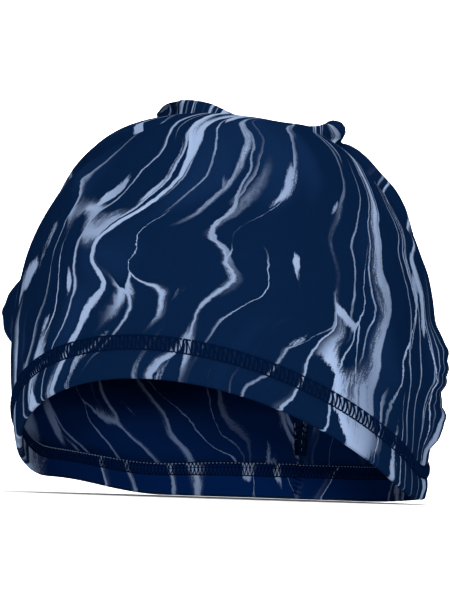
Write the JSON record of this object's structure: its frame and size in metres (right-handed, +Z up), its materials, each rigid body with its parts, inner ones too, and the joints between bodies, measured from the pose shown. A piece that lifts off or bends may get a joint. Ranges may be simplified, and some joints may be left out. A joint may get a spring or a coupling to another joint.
{
  "type": "uncuffed beanie",
  "caption": "Close-fitting one-piece knit cap with an arched turned-in hem, two rolled ears at the crown and a gathered back, hollow and open below.",
  "frame": {"origin": "under the middle of the cap's box, on the surface that the cap rests on", "axes": "+Z up, -Y the wearer's front, +X the wearer's left"},
  "size_m": [0.1788, 0.1964, 0.1554],
  "materials": {
    "knit": "thin brushed navy jersey with a marbled print of light blue streaks, matte",
    "knit_inside": "the back of the same jersey, darker, with the print faded",
    "seam_thread": "navy overlock and cover stitch thread, matte"
  },
  "bodies": {
    "root": {"shell": "knit", "hem_turnup": "knit_inside", "back_seam": "seam_thread"}
  },
  "joints": []
}
